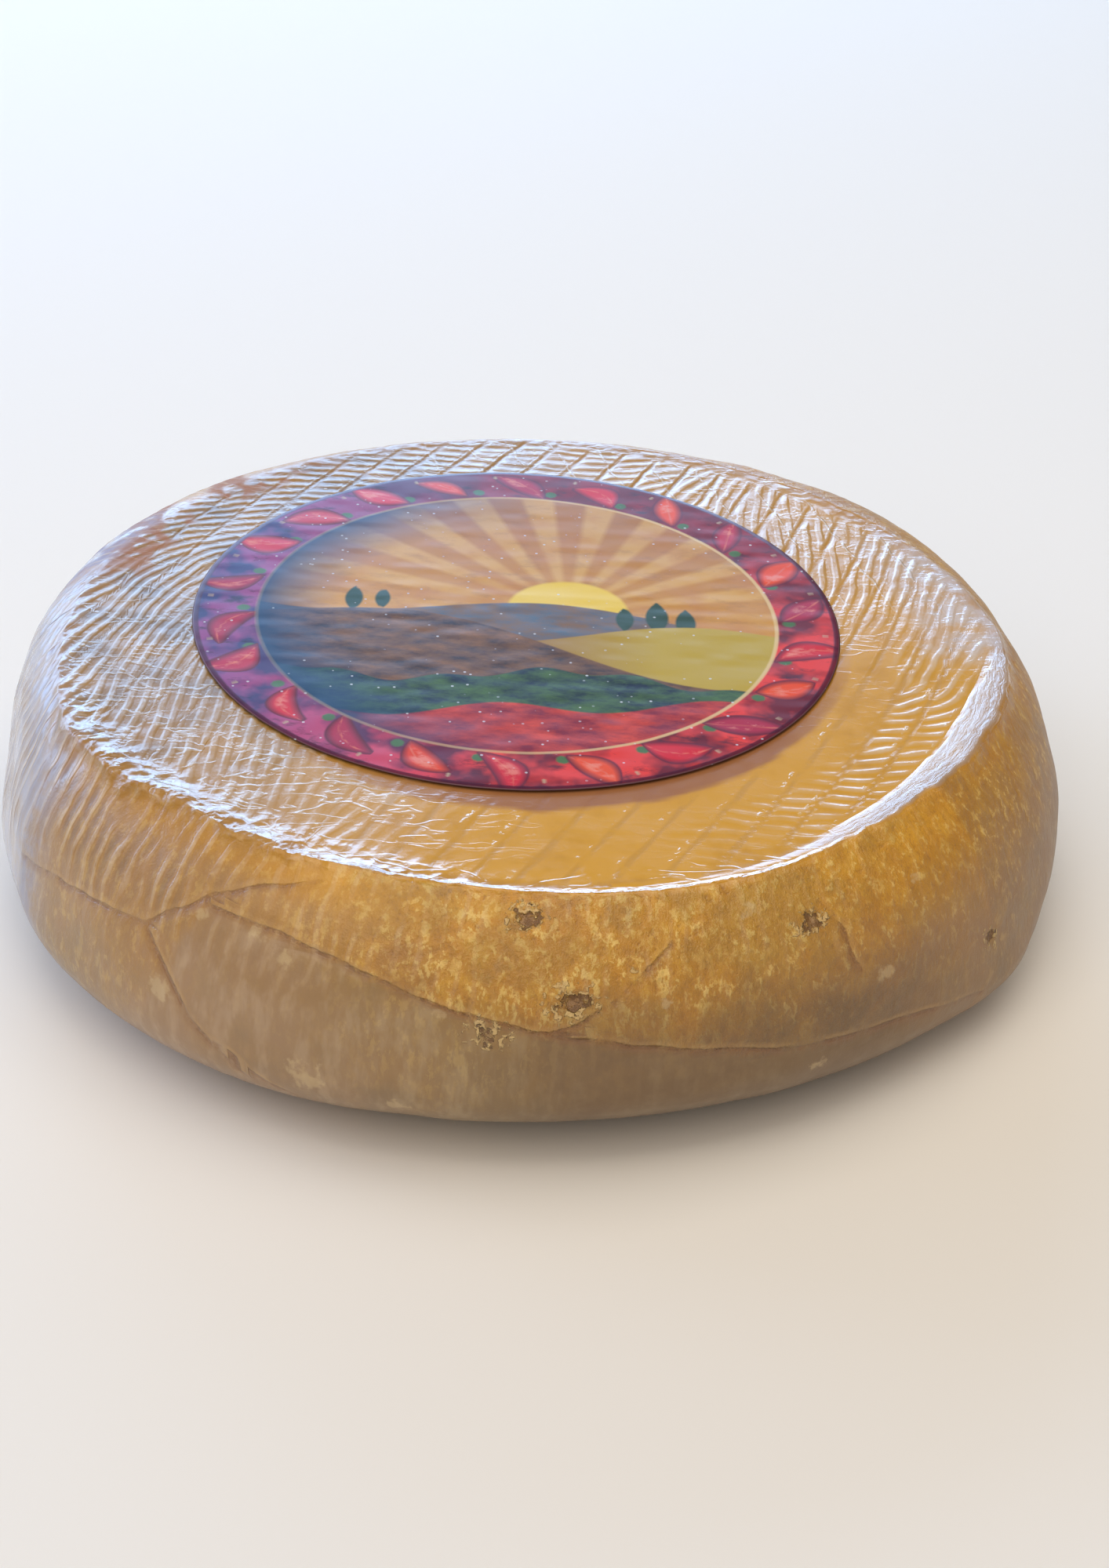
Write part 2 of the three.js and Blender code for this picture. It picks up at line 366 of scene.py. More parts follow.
def alignRings(radius, degrees, height):
    # Slides the rings near the rim, so that one follows the crest and one the bevel's inner edge
    line, wide = crestLine(degrees)
    ringRadii = [r for r, _ in wheelProfile()[:wheel["crestRing"] + 1]]
    crestRadius, bevelRadius = ringRadii[wheel["crestRing"]], ringRadii[wheel["bevelRing"]]
    start, end = wheel["edgeRadius"], wheel["bellyRadius"]
    inner = start + (radius - start) * (line - wide - start) / (bevelRadius - start)
    middle = line - wide + (radius - bevelRadius) * wide / (crestRadius - bevelRadius)
    outer = line + (radius - crestRadius) * (end - line) / (end - crestRadius)
    moved = np.where(radius < bevelRadius, inner, np.where(radius < crestRadius, middle, outer))
    near = (radius > start) & (radius < end - 0.01) & (height > wheel["bellyHeight"])
    return np.where(near, moved, radius), np.where(near, wheel["height"] - shoulderDrop(moved), height)


def crestRelief(at, fields):
    # Level to the crest, a bevel inside it, and a steep fall outside
    points, degrees, onTop = at["points"], at["degrees"], at["onTop"]
    flat = points * (1, 1, 0)
    crumple = byAzimuth(crest["crumple"], degrees)
    line, wide = crestLine(degrees)
    evenWide, rise, fall = (byAzimuth(crest["line"], degrees, column) for column in (2, 3, 4))
    rise = rise * wide / evenWide
    past = at["radius"] - line
    inside = shoulderDrop(at["radius"]) + rise * np.clip(1 + past / wide, 0, 1)
    outside = (shoulderDrop(line) + rise) * np.exp(-np.maximum(past, 0) / fall)
    relief = np.minimum(inside, outside) * onTop
    # A fine upturned edge along the front
    fields["lipGap"] = past + 0.25 * cloud(flat, 4, 5.0)
    fields["girth"] = np.radians(degrees) * line
    fields["lip"] = zone("lip", degrees) * onTop
    ragged = 0.3 + 0.7 * crumple
    past = past + ragged * (1.2 * cloud(flat, 17, 5.0) + 0.7 * cloud(flat, 5.5, 8.0))

    reach = np.where(past < 0, crest["crumpleInward"], crest["crumpleOutward"])
    fields["crumpled"] = crumple * onTop * bell(past, reach)
    warped = points + 2.5 * cloud(points, 7, 3.0)[:, None]
    creases = 1 - np.abs(cloud(warped, 7.5, 1.0)) * 2.2
    creases = 0.6 * creases + 0.35 * cloud(points, 2.6, 2.0) - 0.3
    relief += fields["crumpled"] * crest["crumpleDepth"] * creases

    at["past"], at["fromBevel"] = past, past + wide
    at["spill"] = crest["spill"] * zone("spill", np.abs(degrees))
    at["spill"] += crest["farSpill"] * zone("farSpill", np.abs(degrees))
    onBevel = smooth(-wide - 0.6, -wide + 0.4, past) * smooth(1.6, 0.4, past)
    front = zone("glossyFront", degrees) * onTop
    fields["gloss"] = np.maximum(onBevel, 0.75 * (past < 0)) * front
    fields["bevel"] = onBevel * smooth(0.4, -0.3, past) * front * zone("rightBevel", degrees)
    return relief


# The pressing mat left long seams across the top, and ribs between them
matPrint = {
    "seamSpacing": 10.5,
    "seamDirection": math.radians(68),
    "seamBow": 6.0,
    "seamSway": 40.0,
    "seamReach": 118.0,
    "seamDepth": 0.2,
    "seamLip": 0.12,
    "seamWidth": 1.3,
    # azimuth in degrees, how deep the seams took there
    "seamStrength": (
        (-180, 0.3), (-150, 0.2), (-115, 0.15), (-90, 0.1), (-62, 0), (-14, 0), (6, 0.4), (40, 0.7),
        (90, 0.8), (150, 0.8), (164, 0.6), (180, 0.3),
    ),
    "ribDepth": 0.14,
    # azimuth in degrees, how clearly the ribs stop at the seams
    "ribStop": (
        (-180, 0.25), (-110, 0.3), (-70, 0.7), (-55, 1), (25, 1), (60, 0.8), (150, 0.8), (180, 0.3),
    ),
    # azimuth and direction of the ribs there in degrees, their spacing in mm, how strongly they took
    "ribs": (
        (-180, 66, 4.0, 1.0), (-168, 72, 4.0, 1.0), (-156, 78, 4.1, 1.0), (-144, 82, 4.2, 0.9),
        (-130, 80, 4.2, 0.65), (-118, 72, 4.2, 0.4), (-106, 60, 4.3, 0.18), (-92, 20, 4.4, 0.05),
        (-78, -10, 4.6, 0.1), (-64, -12, 4.7, 0.28), (-50, -3, 4.8, 0.42), (-36, 5, 4.8, 0.46),
        (-22, 13, 4.7, 0.55), (-15, 35, 4.6, 0.5), (-9, 60, 4.5, 0.6), (2, 66, 4.4, 0.75),
        (14, 73, 4.2, 0.85), (30, 79, 4.2, 0.85), (46, 85, 4.2, 0.8), (58, 75, 4.2, 0.5),
        (70, 25, 4.2, 0.4), (84, -8, 4.2, 0.4), (104, -4, 4.1, 0.5), (122, -6, 4.1, 0.8),
        (134, 5, 4.1, 1.0), (148, 12, 4.0, 1.0), (157, 20, 4.0, 1.0), (165, 52, 3.9, 1.0),
        (180, 66, 4.0, 1.0),
    ),
    "ribMeet": 108.0,  # radius at the front where the ribs of neighbouring bands line up
    "crossSpacing": 13.0,  # a second set of lines at the back right
    "crossDirection": math.radians(108),
}


def seamPlaces(x, y):
    # The position of each point along the bowed seams, and across them counted in seams
    turn = matPrint["seamDirection"]
    along = x * math.cos(turn) + y * math.sin(turn)
    across = y * math.cos(turn) - x * math.sin(turn)
    offset = across.copy()
    for _ in range(8):
        half = np.sqrt(np.maximum(matPrint["seamReach"] ** 2 - offset ** 2, 900))
        share = np.clip(along / half, -1, 1)
        offset = across - matPrint["seamBow"] * (1 - share * share) * np.sin(offset / matPrint["seamSway"])
    return along, (offset + matPrint["seamReach"]) / matPrint["seamSpacing"]


def ribPhase(along, place):
    # Each band between two seams carries its own running phase, which starts where its neighbour's stands
    turn = matPrint["seamDirection"]
    spacing = matPrint["seamSpacing"]
    band = np.floor(place).astype(int)
    inBand = (place - band) * spacing
    phase = np.zeros_like(along)
    steps = np.arange(-135.0, 136.0)
    reached = 0.0
    for number in range(band.min(), band.max() + 1):
        middle = (number + 0.5) * spacing - matPrint["seamReach"]
        px = steps * math.cos(turn) - middle * math.sin(turn)
        py = steps * math.sin(turn) + middle * math.cos(turn)
        azimuth = np.degrees(np.arctan2(py, px))
        line = np.stack([px, py, px * 0], axis=-1)
        sway = 7 * cloud(line, 34, 3.0) + 7 * cloud(line, 13, 4.0) + 3 * cloud(line, 6, 4.0 + 0.7 * number)
        swing = np.radians(byAzimuth(matPrint["ribs"], azimuth) + sway) - turn
        pitch = byAzimuth(matPrint["ribs"], azimuth, 2)
        run = -np.cumsum(np.sin(swing) / pitch)
        lean = np.cos(swing) / pitch
        meet = np.argmin(np.abs(steps + math.sqrt(max(matPrint["ribMeet"] ** 2 - middle ** 2, 0))))
        start = reached - run[meet]
        own = band == number
        ownRun, ownLean = (np.interp(along[own], steps, values) for values in (run, lean))
        phase[own] = start + ownRun + inBand[own] * ownLean
        reached = start + run[meet] + spacing * lean[meet]
    return 2 * math.pi * phase


def matRelief(at, fields):
    # Seams and ribs of the mat on the top
    points, degrees, onTop = at["points"], at["degrees"], at["onTop"]
    flat = points * (1, 1, 0)
    bend = 0.3 * cloud(flat, 9, 6.0)
    along, place = seamPlaces(points[:, 0] + bend, points[:, 1] - bend)
    phase = ribPhase(along, place)
    seamGap = (place - np.round(place)) * matPrint["seamSpacing"]
    # At the left and the back the ribs run on over the edge
    overEdge = 12 * np.maximum(zone("overLeft", degrees), zone("overBack", degrees)) + 0.9 * at["spill"]
    stops = -2.6 - 0.4 * overEdge + 0.5 * at["spill"], -0.4 + 0.7 * overEdge
    reach = onTop * (1 - smooth(*stops, at["fromBevel"]))
    # Bare amber patches along the back left rim, where the coating has rubbed off
    worn = fade("worn", at["reach"]) * zone("worn", degrees) * onTop
    patches = cloud(points, 15, 16.0) + 0.5 * cloud(points, 5, 16.0) + 0.5 * smooth(124, 140, degrees)
    fields["worn"] = worn * smooth(0.0, 0.4, patches)
    reach = reach * (1 - 0.6 * fields["worn"])
    # At the right the ribs stop short of the label
    clear = 1 - fade("ribsClear", at["reach"]) * zone("shortRibs", degrees)
    patchy = 0.85 + 0.45 * cloud(points, 16, 4.0) + 0.2 * cloud(points, 5, 7.0)
    strength = byAzimuth(matPrint["ribs"], degrees, 3)
    beside = 1 - byAzimuth(matPrint["ribStop"], degrees) * smooth(1.8, 0.6, np.abs(seamGap))
    ribDepth = np.clip(strength * patchy, 0, 1.3) * reach * clear * beside
    relief = matPrint["ribDepth"] * ribDepth * np.sin(phase) * (1 - 0.4 * fields["gloss"])
    seamTook = reach * byAzimuth(matPrint["seamStrength"], degrees)
    seamTook = seamTook * np.clip(0.8 + 0.6 * cloud(flat, 9, 12.0), 0.1, 1.3)
    relief -= matPrint["seamDepth"] * seamTook * bell(seamGap, matPrint["seamWidth"])
    relief += matPrint["seamLip"] * seamTook * bell(seamGap - 2, matPrint["seamWidth"])
    turn = matPrint["crossDirection"]
    across = points[:, 1] * math.cos(turn) - (points[:, 0] + 3 * bend) * math.sin(turn)
    fields.update(
        ribPhase=phase, ribDepth=ribDepth, seamPlace=place, seamTook=seamTook,
        crossPlace=across / matPrint["crossSpacing"], crossTook=reach * zone("crossLines", degrees),
        # At the front the seams are only faint streaks
        seamFaint=reach * zone("faintSeams", degrees),
        # A painted highlight: a pale tint on the crests of the ribs
        bloom=onTop * smooth(0.05, 0.5, strength) * fade("crestSheenIn", at["past"] - overEdge / 2),
    )
    return relief


# Ribs of the cloth down the side, and its folds: azimuth in degrees and height in mm along each
sidePrint = {
    "mmPerDegree": 2.6,
    "ribSpacing": 5.4,
    "ribLean": 0.1,
    "ribDepth": 0.08,
    # azimuth in degrees, how strongly the ribs took there
    "ribStrength": (
        (-180, 1.3), (-158, 1.4), (-130, 1.0), (-114, 0.6), (-98, 0.5), (-75, 0.36), (-50, 0.15),
        (0, 0.1), (60, 0.35), (120, 0.6), (180, 0.8),
    ),
    "inset": 0.3,  # keeps what stands out inside the solid
    "foldDepth": 0.3,
    "foldWidth": 1.5,
    "foldStep": 0.28,
    "foldStepReach": 7.0,
    "folds": (
        ((-152, 38.4), (-144.3, 43.2), (-136.8, 46.9), (-129.6, 49.6)),
        ((-129, 50.2), (-126.5, 55.3), (-122.8, 61.7), (-118, 66.5), (-112.5, 69.5)),
        ((-128.9, 48.7), (-127.2, 44.7), (-124.5, 37.8), (-121.9, 31), (-120.6, 28.1), (-118.3, 23.7),
         (-116.6, 19.1)),
        ((-122.3, 60), (-114, 59.6), (-107.2, 56.7), (-97.8, 50.7), (-87.2, 44.8), (-78.9, 40.6),
         (-64.9, 33.4), (-48.1, 27), (-38, 21)),
        ((-86.6, 45.5), (-83.9, 47.5), (-80.5, 53.4), (-75.5, 62.1)),
        ((-56.6, 60.8), (-55.4, 57.0), (-55.9, 52.6), (-54.8, 48.0)),
        ((-120.4, 28), (-117.6, 25.6), (-115.2, 20.4), (-112.4, 16.5)),
        ((28, 52), (40, 44), (55, 41), (70, 35), (84, 37)),
        ((112, 30), (122, 39), (135, 44), (150, 41), (166, 47)),
    ),
    "longFold": 3,  # it parts the orange upper side from the brown lower one
    # azimuth in degrees, height and half width in mm
    "spots": (
        (-116.7, 57.4, 2.4), (-113.0, 54.2, 2.2), (-122.8, 57.6, 1.7), (-126.3, 35.6, 3.6),
        (-109.8, 25.5, 4.6), (-76.3, 50.7, 2.0), (-97.6, 48.5, 1.8), (-93.7, 47.0, 1.7),
        (-101.0, 20.0, 3.4), (-66.0, 66.0, 2.4), (-52.0, 44.0, 2.2), (-45.0, 62.0, 1.8),
        (-60.0, 24.0, 2.6), (20.0, 50.0, 3.0), (95.0, 40.0, 3.0), (150.0, 30.0, 3.4), (-165.0, 28.0, 2.6),
    ),
    # azimuth in degrees, height, half width and depth in mm
    "pits": (
        (-85.2, 52.2, 4.0, 1.4), (-89.6, 68.4, 3.0, 0.5), (-59.3, 61.6, 3.0, 0.5),
        (-93.0, 44.4, 3.6, 0.4), (-35.6, 35.5, 2.4, 0.7), (-78.9, 58.7, 0.9, 0.3), (64, 55, 3.4, 1.0),
    ),
}


def sideRelief(at, fields):
    # Ribs of the cloth down the side
    points, degrees, height = at["points"], at["degrees"], at["height"]
    share = fade("ribsOut", at["past"]) * fade("ribsUp", height) * (at["reach"] > 110)
    sway = 1.4 * cloud(points, 15, 9.0) + 0.5 * cloud(points, 6, 10.0)
    girth = np.radians(degrees) * wheel["bellyRadius"]
    phase = 2 * math.pi / sidePrint["ribSpacing"] * (girth - sidePrint["ribLean"] * height + sway)
    start = 42 - 22 * zone("lowRibs", np.abs(degrees))
    depth = share * byAzimuth(sidePrint["ribStrength"], degrees)
    depth = depth * (0.12 + 0.88 * smooth(start, start + 18, height))
    depth = depth * np.clip(0.85 + 0.75 * cloud(points, 12, 11.0), 0.1, 1.4)
    fields.update(sidePhase=phase, sideDepth=depth)
    return sidePrint["ribDepth"] * depth * np.sin(phase) - sidePrint["inset"] * share


def foldCurve(fold):
    # A smooth run of points, about half a millimetre apart, through the fold's own
    azimuths, heights = np.array(fold, float).T
    length = np.hypot(np.diff(azimuths) * sidePrint["mmPerDegree"], np.diff(heights)).sum()
    where = np.linspace(0, len(fold) - 1, int(length / 0.5))
    knots = np.arange(len(fold))
    a = np.interp(where, knots, azimuths)
    h = np.interp(where, knots, heights)
    wander = 0.9 * cloud(np.stack([a * sidePrint["mmPerDegree"], h, h * 0], axis=-1), 7, 2.0)
    h = h + wander * np.sin(np.linspace(0, math.pi, len(h)))
    for _ in range(40):
        for line in (a, h):
            line[1:-1] = (line[:-2] + 2 * line[1:-1] + line[2:]) / 4
    return shaped(sideRadius(h), np.radians(a), h)


def foldRelief(at, fields):
    # Folds of the cloth. Each is kept as a distance that changes its sign across the fold
    points, normals = at["points"], at["normals"]
    gap = np.full(len(points), 99.0)
    signed = np.full(len(points), 9.0)
    for fold in sidePrint["folds"]:
        curve = foldCurve(fold)
        along = np.gradient(curve, axis=0)
        along /= np.linalg.norm(along, axis=1)[:, None]
        low, high = curve.min(0) - 14, curve.max(0) + 14
        near = np.where(((points > low) & (points < high)).all(1))[0]
        offsets = points[near][:, None, :] - curve[None]
        gaps = np.linalg.norm(offsets, axis=2)
        closest = gaps.argmin(1)
        nearGap = gaps[np.arange(len(near)), closest]
        offset = offsets[np.arange(len(near)), closest]
        aside = np.cross(normals[near], along[closest])
        side = (offset * aside).sum(1)
        own = nearGap < gap[near]
        gap[near[own]] = nearGap[own]
        signed[near[own]] = side[own]
    fields.update(foldSigned=signed, foldNear=smooth(3.2, 1.2, gap))
    relief = -sidePrint["foldDepth"] * bell(gap, sidePrint["foldWidth"])

    long = np.array(sidePrint["folds"][sidePrint["longFold"]])
    degrees, height = at["degrees"], at["height"]
    longHeight = np.interp(degrees, long[:, 0], long[:, 1])
    alongIt = (degrees > long[0, 0]) * (degrees < long[-1, 0])
    at["underLong"] = smooth(0, 1.2, longHeight - height) * alongIt
    # Under the fold the rind is browner. Elsewhere the brown fades in towards the foot
    ends = (-180, -135, -129, *long[:, 0], -20, 180), (24, 24, 38, *long[:, 1], 18, 24)
    under = np.interp(degrees, *ends) - height + 1.2 * cloud(points, 8, 17.0)
    fields["brown"] = smooth(0, 20 - 18.6 * zone("sharpBrown", degrees), under)
    fade = np.exp(-np.abs(longHeight - height) / sidePrint["foldStepReach"])
    return relief - sidePrint["foldStep"] * at["underLong"] * fade * (height < 66)


def markGap(points, azimuth, high, half, squash, rough):
    # Distance to a mark on the side, counted in its half width
    centre = shaped(sideRadius(np.float64(high)), math.radians(azimuth), np.float64(high))
    gap = np.linalg.norm((points - centre) * (1, 1, squash), axis=1) / half
    return gap + rough * cloud(points, 2.6, 6.0) * (gap < 3)


def markRelief(at, fields):
    # Pits with crumbly edges, and flat pale spots
    points = at["points"]
    fields["pitGap"] = fields["spotGap"] = np.full(len(points), 9.0)
    relief = 0
    for azimuth, high, half, depth in sidePrint["pits"]:
        gap = markGap(points, azimuth, high, half, 1.4, 0.4)
        fields["pitGap"] = np.minimum(fields["pitGap"], gap)
        relief = relief - depth * smooth(1.0, 0.2, gap)
    for azimuth, high, half in sidePrint["spots"]:
        gap = markGap(points, azimuth, high, half, 1.1, 0.5)
        fields["spotGap"] = np.minimum(fields["spotGap"], gap)
    return relief


# Azimuth in degrees, and how much of each finish the rind has there
finish = {
    "dull": (  # duller and greyer where the ribs took deepest, darkened further as painted shade towards the back left
        (-180, 1), (-150, 0.9), (-130, 0.6), (-112, 0.25), (-97, 0), (-20, 0), (10, 0.1), (40, 0.3),
        (80, 0.6), (120, 1), (180, 1),
    ),
    "bare": (  # how much of the coating the side kept
        (-180, 0.4), (-60, 0.4), (-35, 0.15), (-20, 0.08), (30, 0.1), (90, 0.3), (180, 0.4),
    ),
    "web": (  # fine creases of the coating
        (-180, 0.6), (-150, 0.8), (-135, 1), (-112, 0.8), (-98, 0.2), (-80, 0.05), (-20, 0.1),
        (20, 0.5), (60, 0.7), (120, 0.6), (180, 0.6),
    ),
}


label = {
    "radius": 90.0,
    "thickness": 0.4,
    "gap": 0.3,
    "centre": (-5.0, 5.9),
    "rings": 62,
    "spokes": 420,
    "roundedFrom": 0.995,  # share of the radius where the edge turns down
    "frontLift": 0.25,  # the front edge has come away a little
    "liftTurn": 0.35,
    "waviness": 0.05,
    "room": 0.1,  # keeps the ripple off the rind
    # the strip of painted shadow along the label's front edge: its width in mm, and how much wider its
    # middle is, then where that middle faces and how far it spreads, in degrees
    "damp": (3.5, 5.0, -78, 42),
}


def toneFields(at, fields):
    # From 0 at the foot, browned and darkened by painted shade near the floor, to 1 on the amber top
    points, degrees, height, reach = at["points"], at["degrees"], at["height"], at["reach"]
    onTop, past, underLong = at["onTop"], at["past"], at["underLong"]
    pastSpill = past - at["spill"]
    tone = 0.16 + 0.5 * fade("amber", height) + 0.2 * fade("amberShoulder", height)
    tone += 0.35 * onTop * fade("amberTop", past)
    frontLeft = zone("frontLeft", degrees) * (degrees < -35)
    tone += 0.28 * (1 - underLong) * fade("amberLeft", height) * frontLeft * (height < 72)
    tone -= 0.14 * underLong * (height < 62)
    tone -= 0.1 * zone("darkerRight", degrees) * (height < 68) * (degrees < 90)
    fields["tone"] = np.clip(tone, 0, 1.3)
    flecks = zone("flecks", degrees) * fade("flecks", height) * (1 - 0.45 * zone("fewerFlecks", degrees))
    flecks = (0.25 + 0.75 * flecks) * (1 - 0.8 * fields["brown"])
    fields["flecks"] = flecks * fade("flecksOut", pastSpill)
    fields["drawn"] = 1 - zone("roundFlecks", degrees)
    fields["tan"] = zone("tan", degrees) * fade("tan", height)
    # Painted shade: the amber darkens to brown on its way down the front, where the lower side lies in
    # shadow
    fields["dusk"] = zone("dusk", degrees) * fade("dusk", height + 3 * cloud(points, 14, 19.0))
    rosyFrom = -96 + 10 * fade("rosyTurn", height)
    rosy = smooth(rosyFrom, -118, degrees) + zone("rosyBack", degrees)
    fields["rosy"] = rosy * fade("rosy", height)
    # A grey bloom where the mat spilt over the edge at the left, and at the outermost left, tinted pale
    # blue as a painted reflection
    spilt = fade("spiltOut", past) * fade("spiltEnd", pastSpill) * (at["spill"] > 0) * onTop
    spilt = spilt * np.minimum(at["spill"] / crest["spill"], 1)
    paintedSheenLeft = zone("paintedSheenLeft", np.abs(degrees)) * fade("paintedSheenLeft", height)
    fields["spilt"] = np.maximum(spilt, paintedSheenLeft)
    # Painted highlight: a bright pale patch of glare by the rim at the right
    fields["hazed"] = zone("hazed", degrees) * fade("hazed", reach) * onTop * fade("paintedGlareIn", past)
    # Painted shade: the top greys and darkens towards the back left, where less light falls
    fields["dull"] = byAzimuth(finish["dull"], degrees) * onTop * fade("dullIn", past)
    # Painted shadow of the label: a darker strip of rind along its front edge
    x, y = (points[:, :2] - label["centre"]).T
    facing = np.degrees(np.arctan2(y, x))
    strip = np.hypot(x, y) - label["radius"] + 0.8 * cloud(points, 12, 18.0)
    narrow, more, middle, spread = label["damp"]
    strip = strip - narrow - more * bell(facing - middle, spread)
    fields["damp"] = smooth(0.4, -1.6, strip) * zone("damp", facing) * onTop
    bare = byAzimuth(finish["bare"], degrees)
    coating = bare + (1 - bare) * onTop * fade("coatingIn", pastSpill)
    coating -= 0.5 * fields["dull"] * (1 - np.clip(fields["crumpled"], 0, 1))
    backLeft = zone("backLeft", degrees) * fade("backLeft", reach) * onTop
    coating -= 0.34 * fields["bevel"] + 0.4 * fields["damp"] + 0.25 * backLeft
    fields["coating"] = np.clip(coating, 0, 1) * (1 - fields["worn"])
    alongLip = 0.5 * bell(past + 4, 5) * zone("alongLip", degrees)
    web = np.maximum(byAzimuth(finish["web"], degrees), alongLip)
    fields["web"] = web * onTop * fade("webIn", past)


def makeWheel():
    piece = spunPiece("cheese_wheel_rind", wheelProfile(), wheel["spokes"])
    ideal = pointsOf(piece)
    radius = np.hypot(ideal[:, 0], ideal[:, 1])
    angle = np.arctan2(ideal[:, 1], ideal[:, 0])
    height = np.clip(ideal[:, 2], 0, wheel["height"])
    radius, height = alignRings(radius, np.degrees(angle), height)
    points = shaped(radius, angle, height)
    setPoints(piece, points)
    at = {
        "points": points, "normals": normalsOf(piece), "radius": radius, "degrees": np.degrees(angle),
        "height": height, "reach": np.hypot(points[:, 0], points[:, 1]),
        "onTop": height > wheel["bellyHeight"],
    }
    fields = {}
    relief = crestRelief(at, fields)
    for part in (matRelief, sideRelief, foldRelief, markRelief):
        relief = relief + part(at, fields)
    toneFields(at, fields)
    # Soft unevenness, and none on the face it stands on
    calm = 1 - fields["gloss"]
    relief += wheel["softWaves"] * cloud(points, 21, 13.0) * (height < wheel["height"] - 1) * calm
    relief += wheel["softGrain"] * cloud(points, 6.5, 14.0) * (radius > 100) * calm
    relief *= fade("standing", height)
    points = points + at["normals"] * relief[:, None]
    points[:, :2] -= shapedMiddle()
    low, high = (np.array(corner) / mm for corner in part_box("cheese_wheel"))
    setPoints(piece, np.clip(points, low, high))
    for name, values in fields.items():
        keepField(piece, name, values)
    return piece


def addNode(tree, kind, inputs=(), out=0, **settings):
    # Adds a node, sets it, links or fills its inputs, and gives back one of its outputs
    made = tree.nodes.new("ShaderNode" + kind)
    for key, value in settings.items():
        setattr(made, key, value)
    for key, value in inputs.items() if isinstance(inputs, dict) else enumerate(inputs):
        if isinstance(value, bpy.types.NodeSocket):
            tree.links.new(value, made.inputs[key])
        else:
            made.inputs[key].default_value = value
    return made.outputs[out] if made.outputs else None


def newMaterial(name):
    material = bpy.data.materials.new(name)
    material.use_nodes = True
    material.node_tree.nodes.clear()
    return material, material.node_tree


def patternsOf(tree, piece, noises):
    # What a material is made from, by name: the fields kept on the piece, and noises in Object coordinates
    place = addNode(tree, "TexCoord", out="Object")
    found = {"place": place}
    for field in piece.data.attributes:
        if field.data_type == "FLOAT":
            found[field.name] = addNode(tree, "Attribute", out="Fac", attribute_name=field.name)
    for name, (size, detail, rough, squash) in noises.items():
        where = place
        if squash != 1:
            where = addNode(tree, "Mapping", {"Vector": place, "Scale": (1.0, 1.0, squash)})
        found[name] = addNode(tree, "TexNoise", {
            "Vector": where, "Scale": 1 / (size * mm), "Detail": detail, "Roughness": rough})
    return found


def shareOf(tree, found, factors, ease="SMOOTHSTEP"):
    # Multiplies its factors: a name, a number, or a name with the values where the share is 0 and 1.
    # Two more numbers give other ends than 0 and 1
    share = None
    for factor in factors:
        if isinstance(factor, tuple):
            name, low, high, *ends = factor
            steps = [found[name], low, high, *(ends or (0.0, 1.0))]
            factor = addNode(tree, "MapRange", steps, interpolation_type=ease)
        elif isinstance(factor, str):
            factor = found[factor]
        share = factor if share is None else addNode(tree, "Math", [share, factor], operation="MULTIPLY")
    return share


def summed(tree, found, start, parts):
    # Adds named patterns to a start value, each by its weight
    for name, weight in parts:
        start = addNode(tree, "Math", [found[name], weight, start], operation="MULTIPLY_ADD")
    return start


def painted(tree, found, paint, ease="SMOOTHSTEP"):
    # A hex colour, or a first colour and others over it, each written after the factors of its share
    if isinstance(paint, str):
        return linear(paint)
    colour = painted(tree, found, paint[0], ease)
    for *factors, above in paint[1:]:
        share = shareOf(tree, found, factors, ease)
        mixed = {0: share, 6: colour, 7: painted(tree, found, above, ease)}
        colour = addNode(tree, "Mix", mixed, out=2, data_type="RGBA")
    return colour


# Size of the lumps in mm, detail, roughness, and scale along the height: below 1 they are drawn out upright
rindNoises = {
    "broad": (38, 3.0, 0.5, 1),
    "dusky": (27, 4.0, 0.6, 0.6),
    "olive": (19, 3.0, 0.6, 1),
    "patch": (15, 3.0, 0.5, 1),
    "mid": (7.5, 5.0, 0.6, 1),
    "blots": (5.4, 5.0, 0.7, 0.6),
    "streaky": (5.0, 3.0, 0.6, 0.3),
    "beads": (4.0, 3.0, 0.5, 1),
    "crumbs": (3.0, 2.5, 0.6, 1),
    "drawnOut": (2.6, 3.0, 0.6, 0.3),
    "granules": (2.4, 3.0, 0.6, 1),
    "speckled": (2.1, 4.0, 0.7, 0.6),
    "smallCrumbs": (1.9, 2.0, 0.5, 1),
    "scuffs": (1.6, 4.0, 0.75, 1),
    "fine": (1.5, 3.0, 0.6, 1),
}

